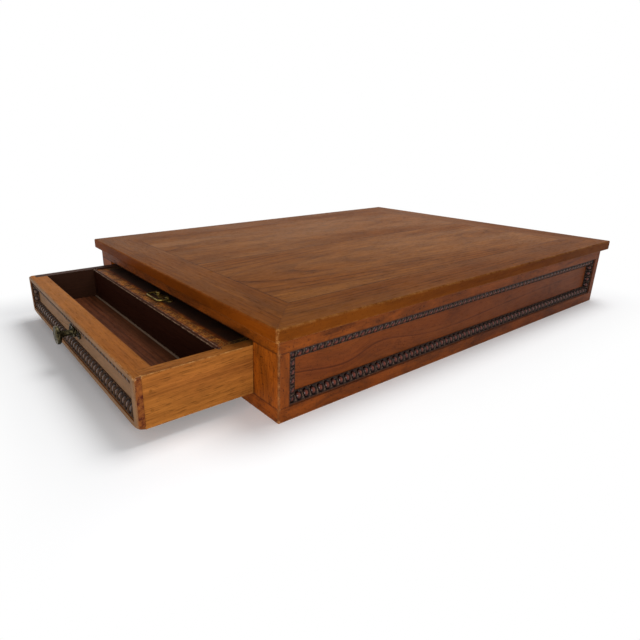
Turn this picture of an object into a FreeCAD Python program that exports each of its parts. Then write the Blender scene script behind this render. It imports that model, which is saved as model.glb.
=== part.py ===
import FreeCAD, Part

import os
from math import sqrt

# A low wooden letter writing box with one drawer in its short front end.
#
# Frame: X runs across the box, Y along it from the drawer end to the back end, Z up.
# The origin is under the middle of the case, on the surface that the box stands on.
# Left and right are those of someone facing the drawer, so right is +X.
# The drawer is drawn part of the way out. Everything is in millimetres.

V = FreeCAD.Vector

# ---------------------------------------------------------------- driving dimensions

# top
TOP_LENGTH = 455.0
TOP_WIDTH = 340.0
TOP_THICK = 9.5
TOP_OVERHANG = 5.3
TOP_BORDER = 36.5
TOP_ARRIS = 1.2

# case
BODY_HEIGHT = 59.0
BODY_ARRIS = 0.8
FACING_THICK = 5.0          # planted rails and stiles round the sunk panels
PANEL_THICK = 7.0
RAIL_BOTTOM = 10.0
RAIL_TOP = 10.0
STILE_WIDTH = 9.0
POST_WIDTH = 28.5
FRONT_DEPTH = 18.0          # front rails and posts, from face to back
BOTTOM_THICK = 4.0
BOTTOM_RAISE = 0.0
RUNNER_WIDTH = 17.0
GUIDE_HEIGHT = 16.0
STOP_SIZE = (24.0, 12.0)
STOP_INSET = 22.0           # from the runner to the stop block
STOP_GAP = 0.3
BLOCK_SIDE = 11.0
BLOCK_LENGTH = 36.0
BLOCK_COUNT = 3

# carved moulding round the sunk panels
MOULDING_WIDTH = 7.6
MOULDING_REVEAL = 0.8       # from the face of the frame back to the moulding
MOULDING_FILLET = 1.1       # flat along the outer edge
MOULDING_TOE = 0.7          # height of the inner edge
MOULDING_BULGE = 0.9        # how far the face stands out from a straight slope

# drawer
DRAWER_OUT = 82.3
DRAWER_SIDE_PLAY = 0.5
DRAWER_LIFT = 0.3
DRAWER_FRONT_LIFT = 0.3
DRAWER_TOP_PLAY = 3.2
DRAWER_FRONT_THICK = 15.0
DRAWER_SIDE_THICK = 9.0
DRAWER_BACK_THICK = 8.0
DRAWER_ARRIS = 0.9
DRAWER_BOTTOM_THICK = 4.0
DRAWER_BOTTOM_RAISE = 3.2
DRAWER_GROOVE = 3.0
HOUSING = 2.0
PARTITION_SETBACK = 60.2
PARTITION_THICK = 3.2
PARTITION_DROP = 0.8
FRONT_SINK = 4.8
LAP_SKIN = 0.4              # wood left between the sunk panel and the end of a side
FRONT_MARGIN_TOP = 3.5
FRONT_MARGIN_BOTTOM = 4.4
FRONT_MARGIN_SIDE = 5.0
REAR_CLEARANCE = 12.0

# writing slide over the paper well
SLIDE_TRAVEL = 90.0
SLIDE_DROP = 1.2
SLIDE_THICK = 5.0
SLIDE_PLAY = 0.4
SLIDE_FRONT_GAP = 0.3
SLIDE_TONGUE_THICK = 2.6
SLIDE_TONGUE_PLAY = 0.25
SLIDE_TONGUE = 3.0
SLIDE_CLAMP = 30.0
LEATHER_THICK = 1.0

# knob
KNOB_RISE = 1.75            # above the middle of the sunk panel
KNOB_HEAD = 15.0
KNOB_REACH = 16.0
KNOB_COLLAR = (8.8, 1.2)
KNOB_SWELL = 6.4
KNOB_NECK = 4.6
KNOB_RIM = 3.6              # height of the head's rounded edge
KNOB_FLARE = 1.4            # height of the cone between the stem and the rim
KNOB_DISH = (3.0, 0.6)      # width and depth of the hollow inside the rim
KNOB_CROWN = 1.0
KNOB_SPIGOT = 4.0
KNOB_TAIL = 1.0
KNOB_BORE_PLAY = 0.1
KNOB_NUT = (7.0, 3.0)
KNOB_PLATE_THICK = 1.2
KNOB_PLATE_SPAN = 21.0      # between the middles of the end lobes
KNOB_PLATE_LOBE = 3.3
KNOB_PLATE_CLEARANCE = 0.4  # to the moulding over it
KNOB_PLATE_WAIST = 4.2

# drop handle of the writing slide
PULL_SETBACK = 16.0
PULL_PLATE_THICK = 0.5
PULL_PLATE_SPAN = 29.0
PULL_PLATE_LOBE = 2.4
PULL_PLATE_BOSS = 4.0
PULL_PLATE_WAIST = 4.6
PULL_POST_SPACING = 18.0
PULL_POST = 3.6
PULL_POST_HEIGHT = 1.9
PULL_POST_ROUND = 0.4
PULL_STEM = 2.2
PULL_WIRE = 1.6
PULL_PIN = 1.2
PULL_PIN_CLEARANCE = 0.05
PULL_SIDE_PLAY = 0.1
PULL_WIDTH = 26.0
PULL_DROP = 9.5
PULL_BEND = 3.2
PULL_LIFT = 0.2
PULL_NUT = (4.6, 1.2)

# screws and pins
SCREW_HEAD = 6.4
SCREW_SHANK = 3.2
SCREW_SLOT = (0.8, 0.9)
HOLE_PLAY = 0.05
TOP_SCREW_BITE = 5.5        # depth in the top
BOTTOM_SCREW_BITE = 3.0     # depth in a runner
SCREWS_PER_SIDE = 3
TOP_SCREW_INSET = 8.0       # from the side panel
PIN_DIAMETER = 1.4
PIN_LENGTH = 12.0
PIN_INSET = 4.0
TACK_HEAD = 2.6
TACK_SHANK = 1.2
TACK_LENGTH = 7.0

# ---------------------------------------------------------------- what follows from them

half_w = TOP_WIDTH / 2 - TOP_OVERHANG
half_l = TOP_LENGTH / 2 - TOP_OVERHANG
inner_w = half_w - FACING_THICK - PANEL_THICK
cavity_front = -half_l + FRONT_DEPTH
cavity_back = half_l - FACING_THICK - PANEL_THICK
rail_top_z = BODY_HEIGHT - RAIL_TOP
opening_w = half_w - POST_WIDTH
bottom_z = BOTTOM_RAISE + BOTTOM_THICK
top_screw_length = RAIL_TOP + TOP_SCREW_BITE
bottom_screw_length = BOTTOM_THICK + BOTTOM_SCREW_BITE
runner_inner = opening_w - RUNNER_WIDTH

drawer_y = -half_l - DRAWER_OUT
drawer_w = opening_w - DRAWER_SIDE_PLAY
drawer_in = drawer_w - DRAWER_SIDE_THICK
drawer_length = cavity_back + half_l - SLIDE_TRAVEL - REAR_CLEARANCE
drawer_back_y = drawer_y + drawer_length
drawer_z0 = RAIL_BOTTOM + DRAWER_LIFT
drawer_front_z0 = RAIL_BOTTOM + DRAWER_FRONT_LIFT
drawer_z1 = rail_top_z - DRAWER_TOP_PLAY
floor_z0 = drawer_z0 + DRAWER_BOTTOM_RAISE
floor_z1 = floor_z0 + DRAWER_BOTTOM_THICK
partition_y = drawer_y + PARTITION_SETBACK
partition_back = partition_y + PARTITION_THICK

slide_y = partition_back + SLIDE_FRONT_GAP
slide_w = drawer_in - SLIDE_PLAY
slide_z2 = drawer_z1 - SLIDE_DROP
slide_z1 = slide_z2 - LEATHER_THICK
slide_z0 = slide_z1 - SLIDE_THICK

sunk_y = drawer_y + FRONT_SINK
drawer_lap = FRONT_SINK + LAP_SKIN
sunk_w = drawer_w - FRONT_MARGIN_SIDE
sunk_z0 = drawer_front_z0 + FRONT_MARGIN_BOTTOM
sunk_z1 = drawer_z1 - FRONT_MARGIN_TOP
knob_z = (sunk_z0 + sunk_z1) / 2 + KNOB_RISE
knob_plate_boss = sunk_z1 - MOULDING_WIDTH - KNOB_PLATE_CLEARANCE - knob_z
pull_y = slide_y + PULL_SETBACK
pull_z = slide_z2 + PULL_PLATE_THICK + PULL_LIFT + PULL_WIRE / 2


# ---------------------------------------------------------------- shapes

def block(x0, x1, y0, y1, z0, z1):
    """A box between two corners."""
    return Part.makeBox(x1 - x0, y1 - y0, z1 - z0, V(x0, y0, z0))


def plan(points, z0, z1):
    """A prism that stands on an outline of (x, y) points."""
    corners = [V(x, y, z0) for x, y in points]
    face = Part.Face(Part.makePolygon(corners + corners[:1]))
    return face.extrude(V(0, 0, z1 - z0))


def rod(start, direction, radius, length):
    return Part.makeCylinder(radius, length, start, direction)


def mirrored(shape):
    """The same piece on the other side of the box."""
    return shape.mirror(V(0, 0, 0), V(1, 0, 0))


def both_sides(shape):
    return [shape, mirrored(shape)]


def join(shapes):
    body = shapes[0].fuse(shapes[1:]) if len(shapes) > 1 else shapes[0]
    return body.removeSplitter()


def is_along(edge, axis):
    """True for an edge that runs along one axis of the box."""
    run = edge.Vertexes[-1].Point - edge.Vertexes[0].Point
    across = [run.x, run.y, run.z]
    along = across.pop(axis)
    return abs(along) > 1e-6 and max(abs(value) for value in across) < 1e-6


def stations(start, end, count):
    """Middles of equal bays between two ends."""
    bay = (end - start) / count
    return [start + bay * (index + 0.5) for index in range(count)]


# ---------------------------------------------------------------- fasteners

def screw(foot, length):
    """A slotted countersunk screw whose head lies flush at foot, pointing up."""
    head, shank = SCREW_HEAD / 2, SCREW_SHANK / 2
    slope = head - shank
    outline = [(0, 0), (head, 0), (shank, slope), (shank, length - 2 * shank), (0, length)]
    points = [V(r, 0, z) for r, z in outline]
    face = Part.Face(Part.makePolygon(points + points[:1]))
    body = face.revolve(V(0, 0, 0), V(0, 0, 1), 360)
    width, depth = SCREW_SLOT
    body = body.cut(block(-head, head, -width / 2, width / 2, 0, depth))
    body.translate(foot)
    return body


def screw_hole(foot, length):
    """The countersunk hole that such a screw fills."""
    head, shank = SCREW_HEAD / 2 + HOLE_PLAY, SCREW_SHANK / 2 + HOLE_PLAY
    slope = head - shank
    cone = Part.makeCone(head, shank, slope, foot, V(0, 0, 1))
    return cone.fuse(rod(foot, V(0, 0, 1), shank, length + HOLE_PLAY))


def top_screw_places():
    x = inner_w - TOP_SCREW_INSET
    ys = stations(cavity_front, cavity_back, SCREWS_PER_SIDE)
    return [V(side * x, y, rail_top_z) for side in (1, -1) for y in ys]


def bottom_screw_places():
    x = (runner_inner + opening_w) / 2
    ys = stations(cavity_front, cavity_back, SCREWS_PER_SIDE)
    return [V(side * x, y, BOTTOM_RAISE) for side in (1, -1) for y in ys]


def drilled(shape, places, length):
    return shape.cut([screw_hole(place, length) for place in places])


# ---------------------------------------------------------------- top

def top_slab():
    """The whole top as one slab with softened outer arrises."""
    slab = block(-TOP_WIDTH / 2, TOP_WIDTH / 2, -TOP_LENGTH / 2, TOP_LENGTH / 2,
                 BODY_HEIGHT, BODY_HEIGHT + TOP_THICK)
    return slab.makeFillet(TOP_ARRIS, slab.Edges)


def top_borders():
    """Four mitred border boards."""
    slab = top_slab()
    x1, y1 = TOP_WIDTH / 2, TOP_LENGTH / 2
    x0, y0 = x1 - TOP_BORDER, y1 - TOP_BORDER
    front = [(-x1, -y1), (x1, -y1), (x0, -y0), (-x0, -y0)]
    right = [(x1, -y1), (x1, y1), (x0, y0), (x0, -y0)]
    outlines = {
        "front": front,
        "back": [(x, -y) for x, y in front],
        "right": right,
        "left": [(-x, y) for x, y in right],
    }
    pieces = {}
    for name, outline in outlines.items():
        wedge = plan(outline, BODY_HEIGHT - 1, BODY_HEIGHT + TOP_THICK + 1)
        board = slab.common(wedge)
        pieces["top_border_" + name] = drilled(board, top_screw_places(), top_screw_length)
    return pieces


def top_fields():
    """Two boards that meet along the middle of the top."""
    x1, y1 = TOP_WIDTH / 2 - TOP_BORDER, TOP_LENGTH / 2 - TOP_BORDER
    z0, z1 = BODY_HEIGHT, BODY_HEIGHT + TOP_THICK
    right = block(0, x1, -y1, y1, z0, z1)
    places = top_screw_places()
    return {
        "top_field_right": drilled(right, places, top_screw_length),
        "top_field_left": drilled(mirrored(right), places, top_screw_length),
    }


# ---------------------------------------------------------------- case

def softened(shape):
    """A facing piece trimmed to the case's softened vertical corners."""
    envelope = block(-half_w, half_w, -half_l, half_l, -1, BODY_HEIGHT + 1)
    uprights = [edge for edge in envelope.Edges if is_along(edge, 2)]
    return shape.common(envelope.makeFillet(BODY_ARRIS, uprights))


def case_panels():
    side = block(inner_w, half_w - FACING_THICK, -half_l + FACING_THICK, half_l - FACING_THICK,
                 0, BODY_HEIGHT)
    end = block(-inner_w, inner_w, cavity_back, half_l - FACING_THICK, 0, BODY_HEIGHT)
    return {
        "side_panel_right": side,
        "side_panel_left": mirrored(side),
        "end_panel": end,
    }


def side_facings():
    """Planted rails and stiles of the long sides, mitred at the case's corners."""
    w, l, f = half_w, half_l, FACING_THICK
    rail = [(w, -l), (w, l), (w - f, l - f), (w - f, -l + f)]
    stile = [(w, -l), (w, -l + STILE_WIDTH), (w - f, -l + STILE_WIDTH), (w - f, -l + f)]
    back_stile = [(x, -y) for x, y in stile]
    pieces = {
        "side_rail_bottom": plan(rail, 0, RAIL_BOTTOM),
        "side_rail_top": plan(rail, rail_top_z, BODY_HEIGHT),
        "side_stile_front": plan(stile, RAIL_BOTTOM, rail_top_z),
        "side_stile_back": plan(back_stile, RAIL_BOTTOM, rail_top_z),
    }
    named = {}
    for name, piece in pieces.items():
        right = softened(piece)
        named[name + "_right"] = right
        named[name + "_left"] = mirrored(right)
    return named


def end_facings():
    """Planted rails and stiles of the back end."""
    w, l, f = half_w, half_l, FACING_THICK
    rail = [(-w, l), (w, l), (w - f, l - f), (-w + f, l - f)]
    stile = [(w, l), (w - STILE_WIDTH, l), (w - STILE_WIDTH, l - f), (w - f, l - f)]
    right = softened(plan(stile, RAIL_BOTTOM, rail_top_z))
    return {
        "end_rail_bottom": softened(plan(rail, 0, RAIL_BOTTOM)),
        "end_rail_top": softened(plan(rail, rail_top_z, BODY_HEIGHT)),
        "end_stile_right": right,
        "end_stile_left": mirrored(right),
    }


def front_frame():
    """Two full-width rails, with a post between them at each side of the drawer."""
    w, l, f = half_w, half_l, FACING_THICK
    half_rail = [(w, -l), (w - f, -l + f), (inner_w, -l + f), (inner_w, cavity_front)]
    rail = half_rail + [(-x, y) for x, y in reversed(half_rail)]
    post = half_rail + [(opening_w, cavity_front), (opening_w, -l)]
    right = softened(plan(post, RAIL_BOTTOM, rail_top_z))
    return {
        "front_rail_bottom": softened(plan(rail, 0, RAIL_BOTTOM)),
        "front_rail_top": softened(plan(rail, rail_top_z, BODY_HEIGHT)),
        "front_post_right": right,
        "front_post_left": mirrored(right),
    }


def case_inside():
    """Bottom board, and the runner, guide and kicker that carry each side of the drawer."""
    y0, y1 = cavity_front, cavity_back
    bottom = block(-inner_w, inner_w, y0, y1, BOTTOM_RAISE, bottom_z)
    runner = block(runner_inner, opening_w, y0, y1, bottom_z, RAIL_BOTTOM)
    guide = block(opening_w, inner_w, y0, y1, bottom_z, bottom_z + GUIDE_HEIGHT)
    kicker = block(runner_inner, inner_w, y0, y1, rail_top_z, BODY_HEIGHT)
    floor_screws = bottom_screw_places()
    bottom = drilled(bottom, floor_screws, bottom_screw_length)
    runner = drilled(runner, floor_screws, bottom_screw_length)
    kicker = drilled(kicker, top_screw_places(), top_screw_length)
    return {
        "bottom_board": bottom,
        "drawer_runner_right": runner,
        "drawer_runner_left": mirrored(runner),
        "drawer_guide_right": guide,
        "drawer_guide_left": mirrored(guide),
        "drawer_kicker_right": kicker,
        "drawer_kicker_left": mirrored(kicker),
    }


def drawer_stops():
    """Two blocks that the drawer's back meets when it is shut."""
    width, depth = STOP_SIZE
    x0 = runner_inner - STOP_INSET - width
    y0 = -half_l + drawer_length + STOP_GAP
    return both_sides(block(x0, x0 + width, y0, y0 + depth, bottom_z, floor_z1))


def glue_blocks():
    """Three-cornered blocks between the top and the end panel."""
    triangle = [
        V(0, cavity_back, BODY_HEIGHT),
        V(0, cavity_back - BLOCK_SIDE, BODY_HEIGHT),
        V(0, cavity_back, BODY_HEIGHT - BLOCK_SIDE),
    ]
    wedge = Part.Face(Part.makePolygon(triangle + triangle[:1])).extrude(V(BLOCK_LENGTH, 0, 0))
    blocks = []
    for x in stations(-runner_inner, runner_inner, BLOCK_COUNT):
        piece = wedge.copy()
        piece.translate(V(x - BLOCK_LENGTH / 2, 0, 0))
        blocks.append(piece)
    return blocks


# ---------------------------------------------------------------- carved moulding

def moulding_strip(length, sink):
    """One strip along X on a panel in the XY plane, its outer edge on the X axis, mitred."""
    width, edge = MOULDING_WIDTH, sink - MOULDING_REVEAL
    run, drop = width - MOULDING_FILLET, edge - MOULDING_TOE
    slope = sqrt(run ** 2 + drop ** 2)
    crown = V(0, MOULDING_FILLET + run / 2 + MOULDING_BULGE * drop / slope,
              MOULDING_TOE + drop / 2 + MOULDING_BULGE * run / slope)
    outer, inner = V(0, MOULDING_FILLET, edge), V(0, width, MOULDING_TOE)
    section = Part.Wire([
        Part.makeLine(V(0, 0, 0), V(0, 0, edge)),
        Part.makeLine(V(0, 0, edge), outer),
        Part.Arc(outer, crown, inner).toShape(),
        Part.makeLine(inner, V(0, width, 0)),
        Part.makeLine(V(0, width, 0), V(0, 0, 0)),
    ])
    strip = Part.Face(section).extrude(V(length, 0, 0))
    mitres = plan([(0, 0), (length, 0), (length - width, width), (width, width)], -1, sink + 1)
    return strip.common(mitres)


def moulding_frame(width, height, sink):
    """Four strips inside a sunk panel that lies in the XY plane, from its middle."""
    strips = []
    for turn, length, reach in ((0, width, height), (90, height, width)):
        for half_turn in (0, 180):
            strip = moulding_strip(length, sink)
            strip.translate(V(-length / 2, -reach / 2, 0))
            strip.rotate(V(0, 0, 0), V(0, 0, 1), turn + half_turn)
            strips.append(strip)
    return strips


def stood(shapes, turn, middle):
    """Pieces made flat are stood up facing -Y, turned about Z and moved to a panel's middle."""
    placed = []
    for shape in shapes:
        piece = shape.copy()
        piece.rotate(V(0, 0, 0), V(1, 0, 0), 90)
        piece.rotate(V(0, 0, 0), V(0, 0, 1), turn)
        piece.translate(middle)
        placed.append(piece)
    return placed


def case_mouldings():
    middle_z = (RAIL_BOTTOM + rail_top_z) / 2
    height = rail_top_z - RAIL_BOTTOM
    side = moulding_frame(2 * (half_l - STILE_WIDTH), height, FACING_THICK)
    end = moulding_frame(2 * (half_w - STILE_WIDTH), height, FACING_THICK)
    face_x, face_y = half_w - FACING_THICK, half_l - FACING_THICK
    return {
        "moulding_right": stood(side, 90, V(face_x, 0, middle_z)),
        "moulding_left": stood(side, -90, V(-face_x, 0, middle_z)),
        "moulding_end": stood(end, 180, V(0, face_y, middle_z)),
    }


def drawer_moulding():
    frame = moulding_frame(2 * sunk_w, sunk_z1 - sunk_z0, FRONT_SINK)
    return stood(frame, 0, V(0, sunk_y, (sunk_z0 + sunk_z1) / 2))


# ---------------------------------------------------------------- drawer

def drawer_front():
    """One board: sunk face, lapped ends, a groove for the bottom and a bore for the knob."""
    y0, y1 = drawer_y, drawer_y + DRAWER_FRONT_THICK
    board = block(-drawer_w, drawer_w, y0, y1, drawer_front_z0, drawer_z1)
    arrises = [edge for edge in board.Edges
               if abs(edge.CenterOfMass.y - y0) < 1e-6]
    board = board.makeFillet(DRAWER_ARRIS, arrises)
    sinking = block(-sunk_w, sunk_w, y0 - 1, sunk_y, sunk_z0, sunk_z1)
    laps = both_sides(block(drawer_in, drawer_w + 1, y0 + drawer_lap, y1 + 1, 0, BODY_HEIGHT))
    groove = block(-drawer_w, drawer_w, y1 - DRAWER_GROOVE, y1 + 1, floor_z0, floor_z1)
    bore = rod(V(0, y0, knob_z), V(0, 1, 0), KNOB_SPIGOT / 2 + KNOB_BORE_PLAY, DRAWER_FRONT_THICK)
    tacks = [tack_hole(x) for x in knob_plate_tacks()]
    pins = [pin_hole(place) for place in drawer_pin_places()]
    return board.cut([sinking] + laps + [groove, bore] + tacks + pins)


def drawer_sides():
    y0, y1 = drawer_y + drawer_lap, drawer_back_y
    board = block(drawer_in, drawer_w, y0, y1, drawer_z0, drawer_z1)
    groove = block(drawer_in, drawer_in + DRAWER_GROOVE, y0, y1, floor_z0, floor_z1)
    partition_slot = block(drawer_in, drawer_in + HOUSING, partition_y, partition_back,
                           floor_z1, drawer_z1)
    back_slot = block(drawer_in, drawer_in + HOUSING, y1 - DRAWER_BACK_THICK, y1,
                      floor_z1, slide_z0)
    tongue_slot = block(drawer_in, drawer_in + SLIDE_TONGUE, partition_back, y1,
                        slide_z0 - SLIDE_TONGUE_PLAY,
                        slide_z0 + SLIDE_TONGUE_THICK + SLIDE_TONGUE_PLAY)
    pins = [pin_hole(place) for place in drawer_pin_places()]
    right = board.cut([groove, partition_slot, back_slot, tongue_slot] + pins)
    return {"drawer_side_right": right, "drawer_side_left": mirrored(right)}


def drawer_inside():
    floor_w = drawer_in + DRAWER_GROOVE
    floor = block(-floor_w, floor_w, drawer_y + DRAWER_FRONT_THICK - DRAWER_GROOVE,
                  drawer_back_y, floor_z0, floor_z1)
    housed_w = drawer_in + HOUSING
    partition = block(-housed_w, housed_w, partition_y, partition_back,
                      floor_z1, drawer_z1 - PARTITION_DROP)
    back = block(-housed_w, housed_w, drawer_back_y - DRAWER_BACK_THICK, drawer_back_y,
                 floor_z1, slide_z0 - SLIDE_TONGUE_PLAY)
    pins = [pin_hole(place) for place in drawer_pin_places()]
    return {
        "drawer_bottom": floor,
        "drawer_partition": partition,
        "drawer_back": back.cut(pins),
    }


def drawer_pin_places():
    """Feet of the pins that hold the sides to the front and to the back."""
    front_y = drawer_y + (drawer_lap + DRAWER_FRONT_THICK) / 2
    back_y = drawer_back_y - DRAWER_BACK_THICK / 2
    low, high = floor_z1 + PIN_INSET, slide_z0 - PIN_INSET
    return [V(side * drawer_w, y, z)
            for side in (1, -1) for y in (front_y, back_y) for z in (low, high)]


def inward(place):
    return V(-1 if place.x > 0 else 1, 0, 0)


def pin_hole(place):
    return rod(place, inward(place), PIN_DIAMETER / 2 + HOLE_PLAY, PIN_LENGTH + HOLE_PLAY)


def drawer_pins():
    return [rod(place, inward(place), PIN_DIAMETER / 2, PIN_LENGTH)
            for place in drawer_pin_places()]


# ---------------------------------------------------------------- knob

def lobed_plate(span, lobe, boss, waist, thick):
    """A flat back plate in the XY plane: a round boss, a waist and two end lobes."""
    up = V(0, 0, 1)
    ends = [rod(V(side * span / 2, 0, 0), up, lobe, thick) for side in (1, -1)]
    middle = rod(V(0, 0, 0), up, boss, thick)
    bar = block(-span / 2, span / 2, -waist / 2, waist / 2, 0, thick)
    return join([middle, bar] + ends)


def knob_plate_tacks():
    return [side * KNOB_PLATE_SPAN / 2 for side in (1, -1)]


def tack_hole(x, length=TACK_LENGTH):
    start = V(x, sunk_y - KNOB_PLATE_THICK - 1, knob_z)
    return rod(start, V(0, 1, 0), TACK_SHANK / 2 + HOLE_PLAY, length + 1)


def knob_plate():
    plate = lobed_plate(KNOB_PLATE_SPAN, KNOB_PLATE_LOBE, knob_plate_boss,
                        KNOB_PLATE_WAIST, KNOB_PLATE_THICK)
    plate = stood([plate], 0, V(0, sunk_y, knob_z))[0]
    bore = rod(V(0, sunk_y - KNOB_PLATE_THICK - 1, knob_z), V(0, 1, 0),
               KNOB_SPIGOT / 2 + KNOB_BORE_PLAY, KNOB_PLATE_THICK + 2)
    return plate.cut([bore] + [tack_hole(x) for x in knob_plate_tacks()])


def knob():
    """Turned in one piece: spigot, collar, waisted stem and a dished round head."""
    head, spigot, swell = KNOB_HEAD / 2, KNOB_SPIGOT / 2, KNOB_SWELL / 2
    collar, seat = KNOB_COLLAR[0] / 2, KNOB_PLATE_THICK
    collar_top = seat + KNOB_COLLAR[1]
    tail = FRONT_SINK - DRAWER_FRONT_THICK - KNOB_NUT[1] - KNOB_TAIL
    rim_low_z, rim_high_z = KNOB_REACH - KNOB_RIM, KNOB_REACH - KNOB_DISH[1]
    foot = [V(0, 0, tail), V(spigot, 0, tail), V(spigot, 0, seat), V(collar, 0, seat),
            V(collar, 0, collar_top), V(swell, 0, collar_top + KNOB_DISH[1])]
    stem_top = V(swell, 0, rim_low_z - KNOB_FLARE)
    waist = V(KNOB_NECK / 2, 0, (foot[-1].z + stem_top.z) / 2)
    rim_low = V(head - KNOB_DISH[1], 0, rim_low_z)
    rim_middle = V(head, 0, (rim_low_z + rim_high_z) / 2)
    rim_high = V(head - KNOB_DISH[1], 0, rim_high_z)
    dish = V(head - KNOB_DISH[0], 0, KNOB_REACH - 2 * KNOB_DISH[1])
    crown = V(KNOB_CROWN, 0, KNOB_REACH)
    bulge = V((dish.x + crown.x) / 2, 0, KNOB_REACH - KNOB_DISH[1] / 2)
    middle = V(0, 0, KNOB_REACH)
    edges = [Part.makeLine(a, b) for a, b in zip(foot, foot[1:])]
    edges.append(Part.Arc(foot[-1], waist, stem_top).toShape())
    edges.append(Part.makeLine(stem_top, rim_low))
    edges.append(Part.Arc(rim_low, rim_middle, rim_high).toShape())
    edges.append(Part.makeLine(rim_high, dish))
    edges.append(Part.Arc(dish, bulge, crown).toShape())
    edges.append(Part.makeLine(crown, middle))
    edges.append(Part.makeLine(middle, foot[0]))
    turned = Part.Face(Part.Wire(edges)).revolve(V(0, 0, 0), V(0, 0, 1), 360)
    return stood([turned], 0, V(0, sunk_y, knob_z))[0]


def knob_nut():
    side, thick = KNOB_NUT
    y0 = drawer_y + DRAWER_FRONT_THICK
    nut = block(-side / 2, side / 2, y0, y0 + thick, knob_z - side / 2, knob_z + side / 2)
    bore = rod(V(0, y0 - 1, knob_z), V(0, 1, 0), KNOB_SPIGOT / 2 + KNOB_BORE_PLAY, thick + 2)
    return nut.cut(bore)


def knob_tacks():
    """Round-headed tacks through the plate's end lobes."""
    tacks = []
    for x in knob_plate_tacks():
        foot = V(x, sunk_y - KNOB_PLATE_THICK, knob_z)
        shank = rod(foot, V(0, 1, 0), TACK_SHANK / 2, TACK_LENGTH)
        dome = Part.makeSphere(TACK_HEAD / 2, foot, V(0, -1, 0), 0, 90, 360)
        tacks.append(join([shank, dome]))
    return tacks


# ---------------------------------------------------------------- writing slide

def slide_boards():
    """A thin board in three parts, with a clamp across each end and a tongue at each side."""
    y0, y1 = slide_y, drawer_back_y
    tongue_w = slide_w + SLIDE_TONGUE
    z2 = slide_z0 + SLIDE_TONGUE_THICK
    whole = join([
        block(-slide_w, slide_w, y0, y1, slide_z0, slide_z1),
        block(-tongue_w, tongue_w, y0, y1, slide_z0, z2),
    ]).cut([pull_stem_hole(x) for x in pull_post_places()])
    spans = {
        "slide_clamp_front": (y0, y0 + SLIDE_CLAMP),
        "slide_core": (y0 + SLIDE_CLAMP, y1 - SLIDE_CLAMP),
        "slide_clamp_back": (y1 - SLIDE_CLAMP, y1),
    }
    pieces = {}
    for name, (start, end) in spans.items():
        bay = block(-tongue_w - 1, tongue_w + 1, start, end, slide_z0 - 1, slide_z1 + 1)
        pieces[name] = whole.common(bay)
    leather = block(-slide_w, slide_w, y0, y1, slide_z1, slide_z2)
    pieces["slide_leather"] = leather.cut([pull_stem_hole(x) for x in pull_post_places()])
    return pieces


def pull_post_places():
    return [side * PULL_POST_SPACING / 2 for side in (1, -1)]


def pull_stem_hole(x):
    foot = V(x, pull_y, slide_z0 - PULL_NUT[1] - 1)
    return rod(foot, V(0, 0, 1), PULL_STEM / 2 + HOLE_PLAY, BODY_HEIGHT - foot.z)


def pull_plate():
    plate = lobed_plate(PULL_PLATE_SPAN, PULL_PLATE_LOBE, PULL_PLATE_BOSS,
                        PULL_PLATE_WAIST, PULL_PLATE_THICK)
    plate.translate(V(0, pull_y, slide_z2))
    return plate.cut([pull_stem_hole(x) for x in pull_post_places()])


def pull_posts():
    """Two low posts that the handle turns in, each with a stem through the board."""
    posts = []
    seat = slide_z2 + PULL_PLATE_THICK
    tail = slide_z0 - PULL_NUT[1]
    reach = PULL_POST
    for x in pull_post_places():
        head = rod(V(x, pull_y, seat), V(0, 0, 1), PULL_POST / 2, PULL_POST_HEIGHT)
        top_edge = [edge for edge in head.Edges if edge.CenterOfMass.z > seat + 1]
        head = head.makeFillet(PULL_POST_ROUND, [edge for edge in top_edge if edge.Closed])
        stem = rod(V(x, pull_y, tail), V(0, 0, 1), PULL_STEM / 2, seat - tail)
        bore = rod(V(x - reach, pull_y, pull_z), V(1, 0, 0),
                   PULL_PIN / 2 + PULL_PIN_CLEARANCE, 2 * reach)
        posts.append(join([head, stem]).cut(bore))
    return posts


def pull_nuts():
    width, thick = PULL_NUT
    nuts = []
    for x in pull_post_places():
        nut = rod(V(x, pull_y, slide_z0 - thick), V(0, 0, 1), width / 2, thick)
        nuts.append(nut.cut(pull_stem_hole(x)))
    return nuts


def rounded_path(corners, radii):
    """A wire through corners of a flat path, each inner corner rounded to its radius."""
    edges = []
    start = corners[0]
    for before, corner, after, radius in zip(corners, corners[1:], corners[2:], radii):
        inward_run = (before - corner).normalize() * radius
        outward_run = (after - corner).normalize() * radius
        centre = corner + inward_run + outward_run
        entry, leave = corner + inward_run, corner + outward_run
        middle = centre + (corner - centre).normalize() * radius
        edges.append(Part.makeLine(start, entry))
        edges.append(Part.Arc(entry, middle, leave).toShape())
        start = leave
    edges.append(Part.makeLine(start, corners[-1]))
    return Part.Wire(edges)


def pull_bail():
    """The drop handle: a bent wire whose thinner ends turn in the posts."""
    half, y, z = PULL_WIDTH / 2, pull_y, pull_z
    end = (PULL_POST_SPACING + PULL_POST) / 2 + PULL_SIDE_PLAY
    corners = [V(end, y, z), V(half, y, z), V(half, y - PULL_DROP, z),
               V(-half, y - PULL_DROP, z), V(-half, y, z), V(-end, y, z)]
    small = PULL_WIRE / 2
    path = rounded_path(corners, [small, PULL_BEND, PULL_BEND, small])
    ring = Part.Wire([Part.makeCircle(PULL_WIRE / 2, corners[0], V(1, 0, 0))])
    wire = path.makePipeShell([ring], True, True)
    root = 2 * PULL_SIDE_PLAY
    pins = [rod(V(side * (end + root), y, z), V(-side, 0, 0), PULL_PIN / 2,
                PULL_POST + 2 * root) for side in (1, -1)]
    return join([wire] + pins)


# ---------------------------------------------------------------- all pieces

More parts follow.
